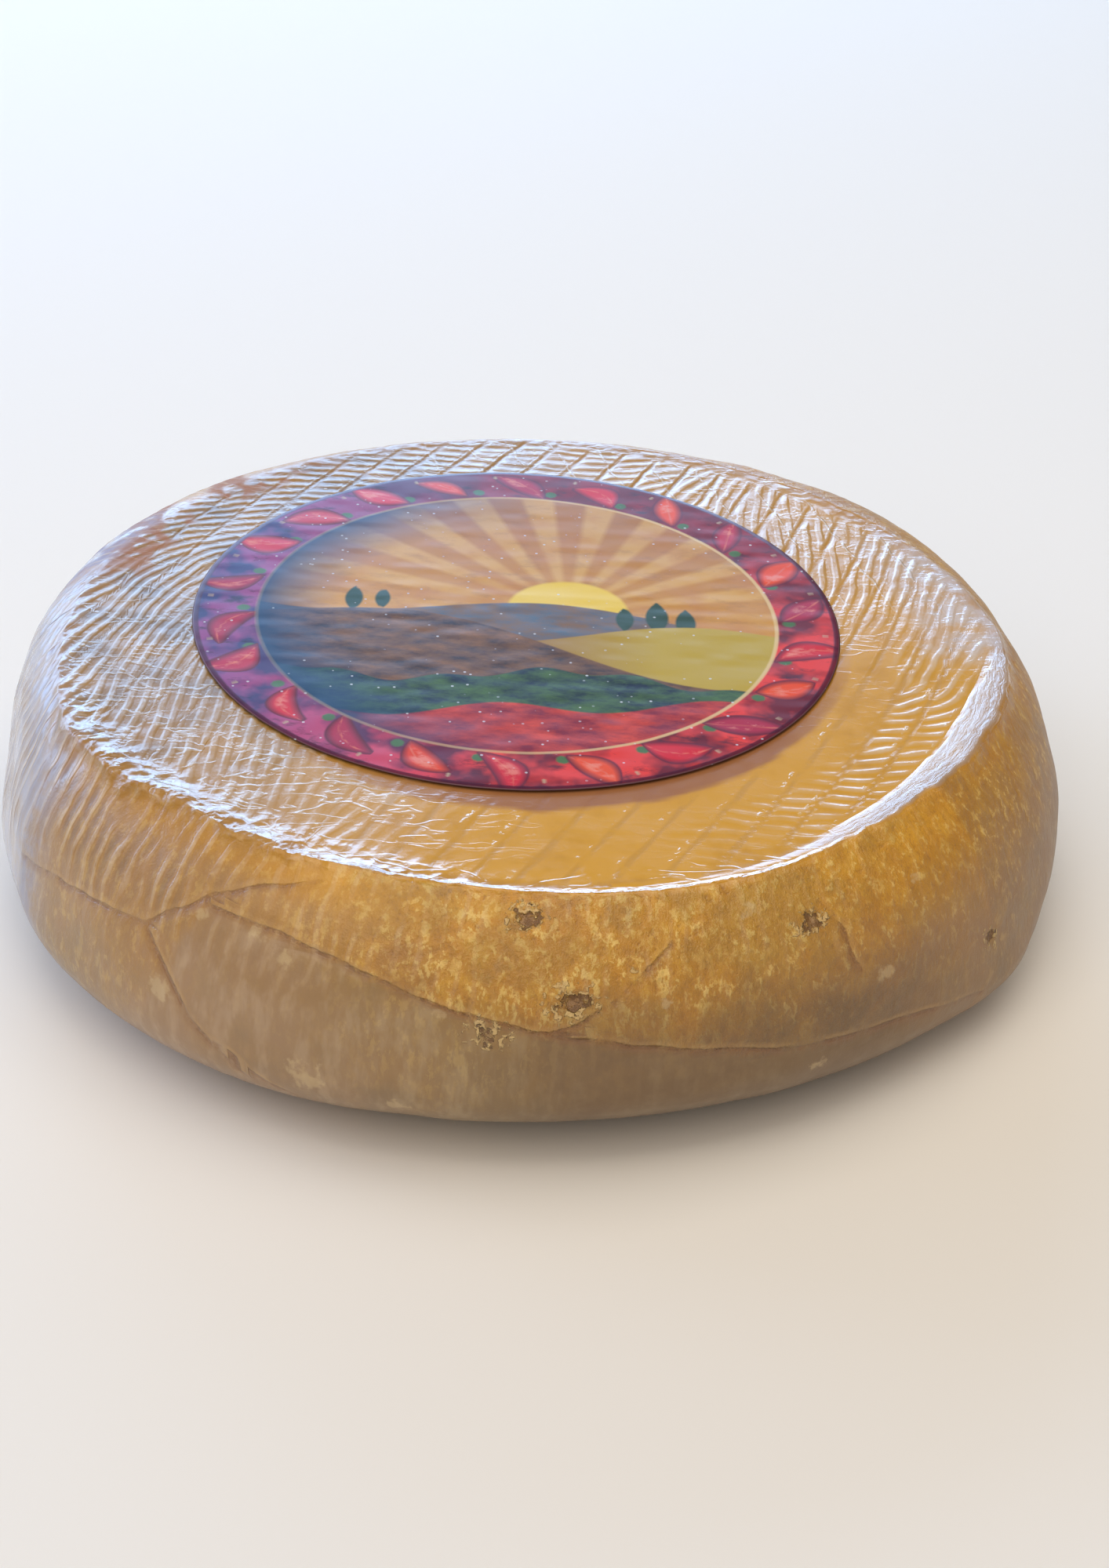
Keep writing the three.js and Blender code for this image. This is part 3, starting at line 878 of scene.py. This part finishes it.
# Patterns of the rind, each the product of its factors
rindPatterns = {
    "streaks": (("streaky", 0.45, 0.68),),
    "fleck": (("blots", 0.48, 0.66), "flecks", ("patch", 0.3, 0.6, 0.45, 1.0)),
    "crystals": ("grainy", "flecks", ("mid", 0.38, 0.58, 0.3, 1.0)),
    "ridge": (("ribWave", -0.5, 0.9),),
    "seamGroove": (("seamAway", 1.0, 0.1), "seamTook"),
    "seamLip": (("lipAway", 0.7, 0.1), "seamTook"),
    "faint": (("faintAway", 1.5, 0.4), "seamFaint", ("mid", 0.36, 0.56)),
    "ridges": (("ridgeAway", 0.8, 0.2), "seamFaint", ("patch", 0.5, 0.6), ("granules", 0.5, 0.62)),
    "crossLine": (("crossAway", 0.6, 0.1), "crossTook", ("mid", 0.42, 0.55)),
    "creases": ("traces", "web", ("mid", 0.4, 0.55)),
    "grit": (("gritCells", 0.17, 0.08), ("patch", 0.45, 0.6), "web"),
    "foldBy": ("foldNear", ("mid", 0.36, 0.54, 0.25, 1.0)),
    "foldPale": (("foldSide", 0.0, 0.5), ("foldSide", 2.2, 0.9), "foldBy"),
    "foldShade": (("foldSide", 0.5, -0.2), ("foldSide", -3.0, -0.8), "foldBy"),
    "foldLine": (("foldAway", 0.7, 0.2), "foldBy", ("fine", 0.35, 0.55)),
    "hollow": (("pitEdge", 0.9, 0.4),),
    "crumb": (("pitEdge", 0.6, 0.9), ("pitEdge", 1.7, 1.3), ("smallCrumbs", 0.48, 0.56)),
    "sideRidge": (("sideWave", 0.4, 0.95), "sideDepth"),
}
rindSums = {
    "seams": (("seamLip", 0.6), ("seamGroove", -1.0), ("ridges", 0.5), ("faint", -0.12)),
    "scratches": (("creases", 1.0), ("crossLine", 1.2), ("grit", 1.0)),
    "foldSteps": (("foldPale", 1.0), ("foldShade", -1.0), ("foldLine", -1.0)),
    "pitSteps": (("crumb", 1.0), ("hollow", -1.0)),
}

# The first colour is the foot, browned and darkened by painted shade near the floor. Each later one lies
# over the rest by its share
rindPaint = (
    "#7c684a",
    (("toned", 0.05, 0.3), "#957545"),
    (("toned", 0.3, 0.6), "#a97a34"),
    (("toned", 0.6, 1.0), "#c0882c"),
    (("toned", 0.95, 1.25), "#d69b29"),
    # browner and greyer under the long fold and rosier to the left, with upright streaks of dry bloom
    ("rosy", ("patch", 0.3, 0.7, 0.4, 0.7), "#a98660"),
    ("brown", ("patch", 0.3, 0.7, 0.35, 0.85), ("#87704f", ("rosy", "#a0805f"))),
    ("brown", "streaks", 0.4, ("#b09c78", ("rosy", "#c0a484"))),
    # pale crystals in upright flecks and brown stains, mottled over the side
    (("broad", 0.42, 0.6), "flecks", 0.35, "#c07a1c"),
    ("fleck", 0.6, "#d8a63c"),
    (("speckled", 0.45, 0.31), "flecks", 0.5, "#935f20"),
    ("crystals", 0.8, "#efcb76"),
    (("blots", 0.48, 0.34), "flecks", 0.35, "#8a5e2a"),
    (("olive", 0.46, 0.6), "flecks", 0.35, "#98793a"),
    (("dusky", 0.54, 0.64), "flecks", 0.35, "#8f6540"),
    ("tan", ("patch", 0.3, 0.7, 0.35, 0.7), "#977558"),
    # painted shade low on the front
    ("dusk", ("mid", 0.3, 0.7, 0.6, 0.95), "#775d40"),
    (("spotEdge", 1.1, 0.5), 0.5, "#cbb083"),
    # the top: duller, greyer and darkened by painted shade where the ribs took, with a painted highlight on
    # their crests
    ("dull", ("patch", 0.3, 0.7, 0.6, 0.95), "#735c42"),
    # painted highlight on the rib crests
    ("ridge", "ribDepth", "bloom", ("mid", 0.3, 0.6, 0.55, 1.0), ("gloss", 0.0, 1.0, 0.26, 0.9), "#d6bf9f"),
    ("seamGroove", 0.3, "#9c7340"),
    ("faint", 0.3, "#a3742c"),
    ("ridges", 0.45, "#dcc08e"),
    ("seamLip", 0.25, "#d6cabb"),
    ("crossLine", 0.5, "#d6cabb"),
    ("worn", 0.9, "#a06a44"),
    # painted reflection: a pale blue-grey sheen over the spilt bloom at the far left
    ("spilt", ("mid", 0.35, 0.6, 0.2, 0.65), "#8f9ab4"),
    # painted highlight by the rim at the right
    ("hazed", ("mid", 0.35, 0.6, 0.2, 0.55), "#c4c4cc"),
    # painted reflection: the bevel tinted pale blue-grey, as if mirroring the light
    ("bevel", 0.4, "#a3adba"),
    # painted highlights: pale glints on the fine creases and on small grit dots
    ("creases", 0.3, "#dcd2c6"),
    ("grit", 0.5, "#ecd2a8"),
    # folds: a painted highlight as a pale edge above each, painted shade below it and along its crease
    ("foldPale", 0.25, "#cda468"),
    ("foldShade", 0.45, "#8a6040"),
    ("foldLine", 0.35, "#6f4526"),
    # pits: a brown hollow with pale crumbs on its rim
    (("pitEdge", 1.7, 0.8), 0.4, "#94703c"),
    ("hollow", 0.75, ("#5c3a1e", (("fine", 0.42, 0.58), "#9a7550"))),
    ("crumb", 0.65, "#dcbc80"),
    # ribs down the side, and the painted shadow of the label's front edge
    # painted highlight on the crests of the side ribs, and painted shade in their grooves
    ("sideRidge", ("mid", 0.35, 0.6), 0.4, "#d8bc96"),
    (("sideWave", 0.1, -0.8), "sideDepth", "rosy", 0.4, "#86694c"),
    ("damp", 0.8, "#925b48"),
)

# Relief from the broad to the fine: the factors of its height, then its depth in mm
rindRelief = (
    ("ridge", "ribDepth", ("gloss", 0.0, 1.0, 1.0, 0.4), 0.16),
    ("seams", 0.12),
    ("scratches", 0.1),
    ("sideRidge", 0.12),
    ("speckled", "flecks", 0.9),
    ("blots", "flecks", 0.5),
    ("foldSteps", 0.1),
    ("pitSteps", 0.3),
    (("lipGap", -1.2, -0.3), ("lipGap", 0.5, 0.0), "lip", ("beads", 0.38, 0.6, 0.1, 1.0), 0.22),
    ("bevelStreaks", "bevel", 0.5),
    ("scuffs", "bevel", 0.16),
    ("plates", "crumpled", 1.1),
    ("smallPlates", "crumpled", 0.3),
    ("mid", ("gloss", 0.0, 1.0, 1.0, 0.1), 0.07),
    ("fine", ("gloss", 0.0, 1.0, 1.0, 0.1), 0.06),
)


def rindMaterial(piece):
    # Washed rind, brushed with brine and coated: amber over brown, moist enough to mirror a bright light
    material, tree = newMaterial("washed_rind_coated")
    found = patternsOf(tree, piece, rindNoises)
    place = found["place"]

    def swayed(name, *noises):
        # A value moved by noises, each about its middle
        middle = -0.5 * sum(weight for _, weight in noises)
        return summed(tree, found, middle, [(name, 1.0), *noises])

    found["toned"] = swayed("tone", ("broad", 0.34), ("patch", 0.3), ("mid", 0.34))
    found["spotEdge"] = swayed("spotGap", ("mid", 1.8), ("fine", 1.4))
    found["pitEdge"] = swayed("pitGap", ("crumbs", 2.2), ("fine", 2.2))
    found["foldSide"] = swayed("foldSigned", ("fine", 0.8))
    for name in ("seam", "cross"):
        turns = addNode(tree, "Math", [found[name + "Place"], 0.5, -0.5], operation="WRAP")
        spacing = matPrint[name + "Spacing"]
        found[name + "Gap"] = addNode(tree, "Math", [turns, spacing], operation="MULTIPLY")
    # How far it is in mm to a line that runs beside another
    for name, gap, beside in (
        ("seamAway", "seamGap", 0.0), ("lipAway", "seamGap", 1.3), ("ridgeAway", "seamGap", 2.0),
        ("crossAway", "crossGap", 0.0), ("foldAway", "foldSide", -0.3),
    ):
        offset = addNode(tree, "Math", [found[gap], beside], operation="SUBTRACT")
        found[name] = addNode(tree, "Math", [offset], operation="ABSOLUTE")
    found["faintAway"] = swayed("seamAway", ("patch", 2.0))
    for name, phase in (("ribWave", "ribPhase"), ("sideWave", "sidePhase")):
        found[name] = addNode(tree, "Math", [found[phase]], operation="SINE")

    specks = [shareOf(tree, found, [("speckled", 0.52, 0.64)]),
              shareOf(tree, found, [("drawnOut", 0.55, 0.63), "drawn"])]
    found["grainy"] = addNode(tree, "Math", specks, operation="MAXIMUM")
    # Fine creases of the coating, in two crossing sets
    traces = []
    for turn, shift in ((0.5, 0.0), (2.1, 0.3)):
        leaning = addNode(tree, "Mapping", {
            "Vector": place, "Location": (shift, 0, 0), "Rotation": (0, 0, turn), "Scale": (0.35, 1, 1)})
        folds = addNode(tree, "TexNoise", {
            "Vector": leaning, "Scale": 1 / (9 * mm), "Detail": 2.0, "Roughness": 0.5})
        offset = addNode(tree, "Math", [folds, 0.5], operation="SUBTRACT")
        found["trace"] = addNode(tree, "Math", [offset], operation="ABSOLUTE")
        traces.append(shareOf(tree, found, [("trace", 0.022, 0.004)]))
    found["traces"] = addNode(tree, "Math", traces, operation="MAXIMUM")
    # Plates with sharp borders, where the coating is crumpled
    swerve = addNode(tree, "TexNoise", {"Vector": place, "Scale": 1 / (9 * mm)}, out="Color")
    bent = addNode(tree, "VectorMath", [swerve, (6 * mm,) * 3, place], operation="MULTIPLY_ADD")
    for name, where, size in (("gritCells", place, 4.2), ("plates", bent, 6.0), ("smallPlates", bent, 2.4)):
        found[name] = addNode(tree, "TexVoronoi", {"Vector": where, "Scale": 1 / (size * mm)})
    # Streaks along the bevel, in coordinates across it and along it
    alongBevel = addNode(tree, "CombineXYZ", [found["lipGap"], shareOf(tree, found, ["girth", 0.12])])
    found["bevelStreaks"] = addNode(tree, "TexNoise", {
        "Vector": alongBevel, "Scale": 0.8, "Detail": 4.0, "Roughness": 0.65})

    for name, factors in rindPatterns.items():
        found[name] = shareOf(tree, found, factors)
    for name, parts in rindSums.items():
        found[name] = summed(tree, found, 0.0, parts)
    normal = addNode(tree, "NewGeometry", out="Normal")
    for *factors, depth in rindRelief:
        raised = shareOf(tree, found, factors)
        normal = addNode(tree, "Bump", {
            "Strength": 1.0, "Distance": depth * mm, "Height": raised, "Normal": normal})

    roughness = shareOf(tree, found, [("mid", 0.3, 0.7, 0.38, 0.46)])
    roughness = summed(tree, found, roughness, (("gloss", -0.28), ("crumpled", -0.1), ("worn", 0.25)))
    # It mirrors less where it is crumpled, and where the bevel is scuffed
    coat = found["coating"]
    for lost in (
        ("crumpled", ("mid", 0.52, 0.42, 0.0, 0.6)),
        ("bevel", ("bevelStreaks", 0.4, 0.56, 0.0, 0.85)),
    ):
        left = addNode(tree, "Math", [1.0, shareOf(tree, found, lost)], operation="SUBTRACT")
        coat = addNode(tree, "Math", [coat, left], operation="MULTIPLY")
    shader = addNode(tree, "BsdfPrincipled", {
        "Base Color": painted(tree, found, rindPaint), "Roughness": roughness, "IOR": 1.46,
        "Specular IOR Level": 0.45, "Normal": normal, "Coat Weight": coat, "Coat Roughness": 0.14,
        "Coat IOR": 1.45, "Coat Normal": normal,
    })
    addNode(tree, "OutputMaterial", {"Surface": shader})
    return material


print("wheel: spinning and shaping")
rind = makeWheel()
rind.data.materials.append(rindMaterial(rind))
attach(rind, "root")
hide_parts("cheese_wheel")


def makeLabel():
    radius, thick, rounded = label["radius"], label["thickness"], label["radius"] * label["roundedFrom"]
    profile = [(rounded * i / label["rings"], thick) for i in range(label["rings"] + 1)]
    profile += [(radius, thick / 2), (rounded, 0), (radius / 2, 0), (0, 0)]
    piece = spunPiece("paper_label", profile, label["spokes"])
    points = pointsOf(piece)
    x, y = points[:, 0].copy(), points[:, 1].copy()
    gap = np.hypot(x, y)
    angle = np.arctan2(y, x)
    # The ribs underneath show through as a faint ripple, and the front edge stands up a little
    onWheel = x + label["centre"][0], y + label["centre"][1]
    ripple = label["waviness"] * cloud(np.stack([x, y * 2.2, x * 0], axis=-1), 12, 2.0)
    lift = smooth(40, 92, gap) * np.clip(-np.sin(angle - label["liftTurn"]), 0, 1) ** 1.2
    points[:, 2] += wheel["height"] + topRise(*onWheel) + label["gap"] + label["room"]
    points[:, 2] += ripple + label["frontLift"] * lift
    points[:, :2] = np.stack(onWheel, axis=-1) - shapedMiddle()
    setPoints(piece, points)
    printFields(piece, x, y, gap, angle)
    return piece


# The printed design, a ring of leaves round a low sun over hills, in mm from the middle of the label
artwork = {
    "leaves": 22,
    "leafRing": 81.0,
    "leafSize": (10.6, 5.0),  # half length and half width
    "leafLean": 42,  # degrees
    "berry": (3.0, 4.9, 0.9),  # beside the leaf, outwards, radius
    "sprig": (-3.0, -4.9, 1.9),
    "sun": (14, 4, 17),
    "rays": 22,
    # level at the middle, slope, and waves with their height, length and phase
    "hills": {
        "farHill": (2, -0.05, (6, 21, 1.1)),
        "field": (-10, 0.06, (5, 17, -1.2)),
        "nearHill": (-15, -0.22, (9, 23, 2.6)),
        "hedge": (-33, 0, (1.6, 4.2, 0), (4, 15, 0.6)),
        "meadow": (-50, 0.1, (3, 9, 2)),
    },
    "trees": ((30, -2, 7), (39, -1, 9), (47, -3, 8), (-38, 4, 6), (-46, 3, 7)),  # x, y, half height
}


def printFields(piece, x, y, gap, angle):
    # Each printed shape is kept as a distance in mm to its edge, negative inside
    count, ring = artwork["leaves"], artwork["leafRing"]
    cell = angle / (2 * math.pi) * count
    number = np.floor(cell)
    draws = np.random.default_rng(6).uniform(-1, 1, (3, count))
    turned, longer, aside = draws[:, number.astype(int) % count]
    out = gap - ring
    side = (cell - number - 0.5) * 2 * math.pi / count * ring + 1.4 * aside
    lean = np.radians(artwork["leafLean"] + 20 * turned)
    long = out * np.cos(lean) + side * np.sin(lean)
    wide = side * np.cos(lean) - out * np.sin(lean) - 0.05 * long * long * turned
    half, halfWide = artwork["leafSize"]
    leaf = np.abs(wide) - (halfWide + 0.8 * aside) * (1 - (long / (half + 1.4 * longer)) ** 2)
    gapSide = (cell - np.round(cell)) * 2 * math.pi / count * ring
    shapes = {
        "fromMiddle": gap, "leaf": leaf, "leafRib": np.abs(wide + 0.3) - 0.35,
        "leafNumber": np.mod(number * 0.618, 1.0), "across": x, "upward": y,
    }
    for name in ("berry", "sprig"):
        beside, outwards, half = artwork[name]
        shapes[name] = np.hypot(gapSide + beside, out - outwards) - half
    sunX, sunY = x - artwork["sun"][0], y - artwork["sun"][1]
    fromSun = np.hypot(sunX, sunY)
    shapes["sun"] = fromSun - artwork["sun"][2]
    ray = np.arctan2(sunY, sunX) / (2 * math.pi) * artwork["rays"]
    shapes["ray"] = (np.abs(ray - np.round(ray)) - 0.24) * fromSun * 0.28
    for name, (level, slope, *waves) in artwork["hills"].items():
        swell = sum(high * np.sin(x / length + phase) for high, length, phase in waves)
        shapes[name] = y - (level + slope * x + swell)
    shapes["trees"] = np.min([
        np.abs(x - tx) - half * 0.36 * (1 - ((y - ty - half * 0.4) / half) ** 2)
        for tx, ty, half in artwork["trees"]], axis=0)
    for name, values in shapes.items():
        keepField(piece, name, values)


labelNoises = {
    "blotch": (14, 3.0, 0.5, 1),
    "ripples": (4.0, 3.0, 0.5, 1),
    "fibres": (0.8, 3.0, 0.5, 1),
}
warm = ("across", -78, -5)  # the ring turns from violet at the left to red
discPaint = (
    "#c98f38",
    (("upward", -10, 60), "#a87034"),
    (("ray", 0.8, -0.8), ("upward", -6, 14, 0.0, 0.5), "#dcb061"),
    (("blotch", 0.45, 0.7, 0.0, 0.5), "#b4733a"),
    (("sharp", 0.52, 0.68, 0.0, 0.35), "#8a5a34"),
    (("sun", 0.6, -0.6), "#e2c04a"),
    (("farHill", 0.35, -0.35), ("#56606e", (("sharp", 0.35, 0.65), "#7d5f49"))),
    (("trees", 0.35, -0.35), "#2e4631"),
    (("field", 0.35, -0.35), ("#8a5c33", (("across", -10, 40), "#b59a35"))),
    (("nearHill", 0.35, -0.35), ("#8a5f38", (("sharp", 0.3, 0.7), "#33282a"))),
    (("hedge", 0.35, -0.35), ("#1b2433", (("sharp", 0.35, 0.65), "#4c6a3c"))),
    (("meadow", 0.35, -0.35), ("#7e1c2c", (("sharp", 0.35, 0.65), "#cc4430"))),
    # a dark blue shade closes in on the disc from the left
    (("fromMiddle", 50, 72), ("across", 6, -45), 0.95, "#173a5e"),
)
leafPaint = (
    "#a82440",
    (("leafNumber", 0.2, 0.3), "#cc2430"),
    (("leafNumber", 0.55, 0.62), ("#b52c48", (warm, "#e04c20"))),
    (("leafRib", 0.2, -0.2), 0.6, "#dc7a60"),
)
ringPaint = (
    "#383468",
    (warm, "#6c1220"),
    (("blotch", 0.42, 0.58), ("#8e4680", (warm, ("#8c1c2a", (("upward", 50, 0), "#dc3c34"))))),
    (("sharp", 0.56, 0.68, 0.0, 0.7), "#2a1626"),
    (("sprig", 0.35, -0.35), "#4c6b3c"),
    (("leaf", 0.35, -0.35), ("#5c1226", (("leaf", -0.2, -2.6), leafPaint))),
    (("leaf", -2.2, -3.4), ("sharp", 0.5, 0.6), 0.5, "#e79a86"),
    (("berry", 0.25, -0.25), "#b7a284"),
)
labelPaint = (
    discPaint,
    (("fromMiddle", 72.2, 72.9), ringPaint),
    (("fromMiddle", 71.6, 72.1), ("fromMiddle", 73.2, 72.7), ("across", -60, 40, 0.15, 0.8), "#dcc08a"),
    (("fromMiddle", 88.0, 88.5, 0.0, 0.85), "#4a2036"),
    (("fromMiddle", 89.5, 89.7), "#6d4a50"),
    (("specks", 0.13, 0.08), ("blotch", 0.45, 0.55), 0.75, "#d8dbe2"),
)


def labelMaterial(piece):
    # Coated label paper printed in four colours: glossy, with fine white specks where the ink missed
    material, tree = newMaterial("glossy_printed_paper")
    found = patternsOf(tree, piece, labelNoises)
    strokes = addNode(tree, "Mapping", {
        "Vector": found["place"], "Rotation": (0, 0, 0.3), "Scale": (0.5, 1, 1)})
    found["sharp"] = addNode(tree, "TexNoise", {
        "Vector": strokes, "Scale": 1 / (5 * mm), "Detail": 6.0, "Roughness": 0.65})
    found["specks"] = addNode(tree, "TexVoronoi", {"Vector": found["place"], "Scale": 1 / (3.6 * mm)})
    normal = addNode(tree, "NewGeometry", out="Normal")
    for name, depth in (("ripples", 0.03), ("fibres", 0.008)):
        normal = addNode(tree, "Bump", {
            "Strength": 1.0, "Distance": depth * mm, "Height": found[name], "Normal": normal})
    shader = addNode(tree, "BsdfPrincipled", {
        "Base Color": painted(tree, found, labelPaint, ease="LINEAR"), "Roughness": 0.27, "IOR": 1.46,
        "Specular IOR Level": 0.17, "Normal": normal,
    })
    addNode(tree, "OutputMaterial", {"Surface": shader})
    return material


print("label: spinning and printing")
paper = makeLabel()
paper.data.materials.append(labelMaterial(paper))
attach(paper, "root")
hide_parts("label")


stage = {
    "floorSize": 12.0,
    "floorDrop": 0.2 * mm,
    "floorColour": "#ece7df",
    "skyColour": "#eeebe6",
    "skyStrength": 0.22,
    "target": (0, 0, 0.05),  # what the lights face
}
lights = (
    # name, azimuth, elevation, distance in m, width, height, watts, colour
    ("windowRight", 86, 14.5, 2.6, 0.66, 1.08, 14, "#a8d0ff"),
    ("windowMiddle", 106, 17, 2.6, 1.22, 1.25, 31, "#a4ceff"),
    ("windowLeft", 142, 14, 2.6, 2.2, 1.4, 40, "#acd0ff"),
    ("coolLeft", 168, 22, 2.6, 2.0, 1.6, 14, "#9cc0ff"),
    ("softFront", -102, 50, 4.2, 5.0, 4.0, 108, "#fff5e8"),
    ("softAbove", 20, 84, 2.8, 2.6, 2.6, 34, "#fff6ea"),
)
view = {
    "from": (6.65, -667.99, 440.42),  # mm from the wheel's axis at floor level
    "pitch": 0.5589,
    "roll": -0.0283,
    "lens": 63.0,  # on a 36 mm frame height
    "sensor": 36.0,
}


def makeFloor():
    bpy.ops.object.select_all(action="DESELECT")
    bpy.ops.mesh.primitive_plane_add(size=stage["floorSize"], location=(0, 0, -stage["floorDrop"]))
    floor = bpy.context.object
    floor.name = "floor"
    material, tree = newMaterial("matt_floor")
    shader = addNode(tree, "BsdfPrincipled", {"Base Color": linear(stage["floorColour"]), "Roughness": 0.9})
    addNode(tree, "OutputMaterial", {"Surface": shader})
    floor.data.materials.append(material)


def makeLights():
    for name, azimuth, elevation, distance, width, height, watts, colour in lights:
        a, e = math.radians(azimuth), math.radians(elevation)
        away = Vector((math.cos(a) * math.cos(e), math.sin(a) * math.cos(e), math.sin(e)))
        bpy.ops.object.light_add(type="AREA", location=Vector(stage["target"]) + away * distance)
        lamp = bpy.context.object
        lamp.name = name
        lamp.rotation_euler = away.to_track_quat("Z", "Y").to_euler()
        lamp.data.shape = "RECTANGLE"
        lamp.data.size, lamp.data.size_y = width, height
        lamp.data.energy = watts
        lamp.data.color = linear(colour)[:3]
    world = bpy.data.worlds.new("studio")
    bpy.context.scene.world = world
    world.use_nodes = True
    sky = world.node_tree.nodes["Background"]
    sky.inputs["Color"].default_value = linear(stage["skyColour"])
    sky.inputs["Strength"].default_value = stage["skyStrength"]


def makeCamera():
    pitch, roll = view["pitch"], view["roll"]
    forward = Vector((0, math.cos(pitch), -math.sin(pitch)))
    down = Vector((0, -math.sin(pitch), -math.cos(pitch)))
    level = Vector((1, 0, 0))
    right = math.cos(roll) * level + math.sin(roll) * down
    below = math.cos(roll) * down - math.sin(roll) * level
    spot = (Vector(view["from"]) - Vector((*shapedMiddle(), 0))) * mm
    bpy.ops.object.camera_add(location=spot)
    camera = bpy.context.object
    turned = Matrix((right, -below, -forward)).transposed().to_4x4()
    camera.matrix_world = Matrix.Translation(spot) @ turned
    camera.data.lens = view["lens"]
    camera.data.sensor_width = view["sensor"]
    camera.data.sensor_fit = "AUTO"
    camera.data.clip_end = 50
    bpy.context.scene.camera = camera


makeFloor()
makeLights()
makeCamera()
bpy.context.scene.view_settings.view_transform = "Standard"
print("stage: floor, lights and camera are in place")
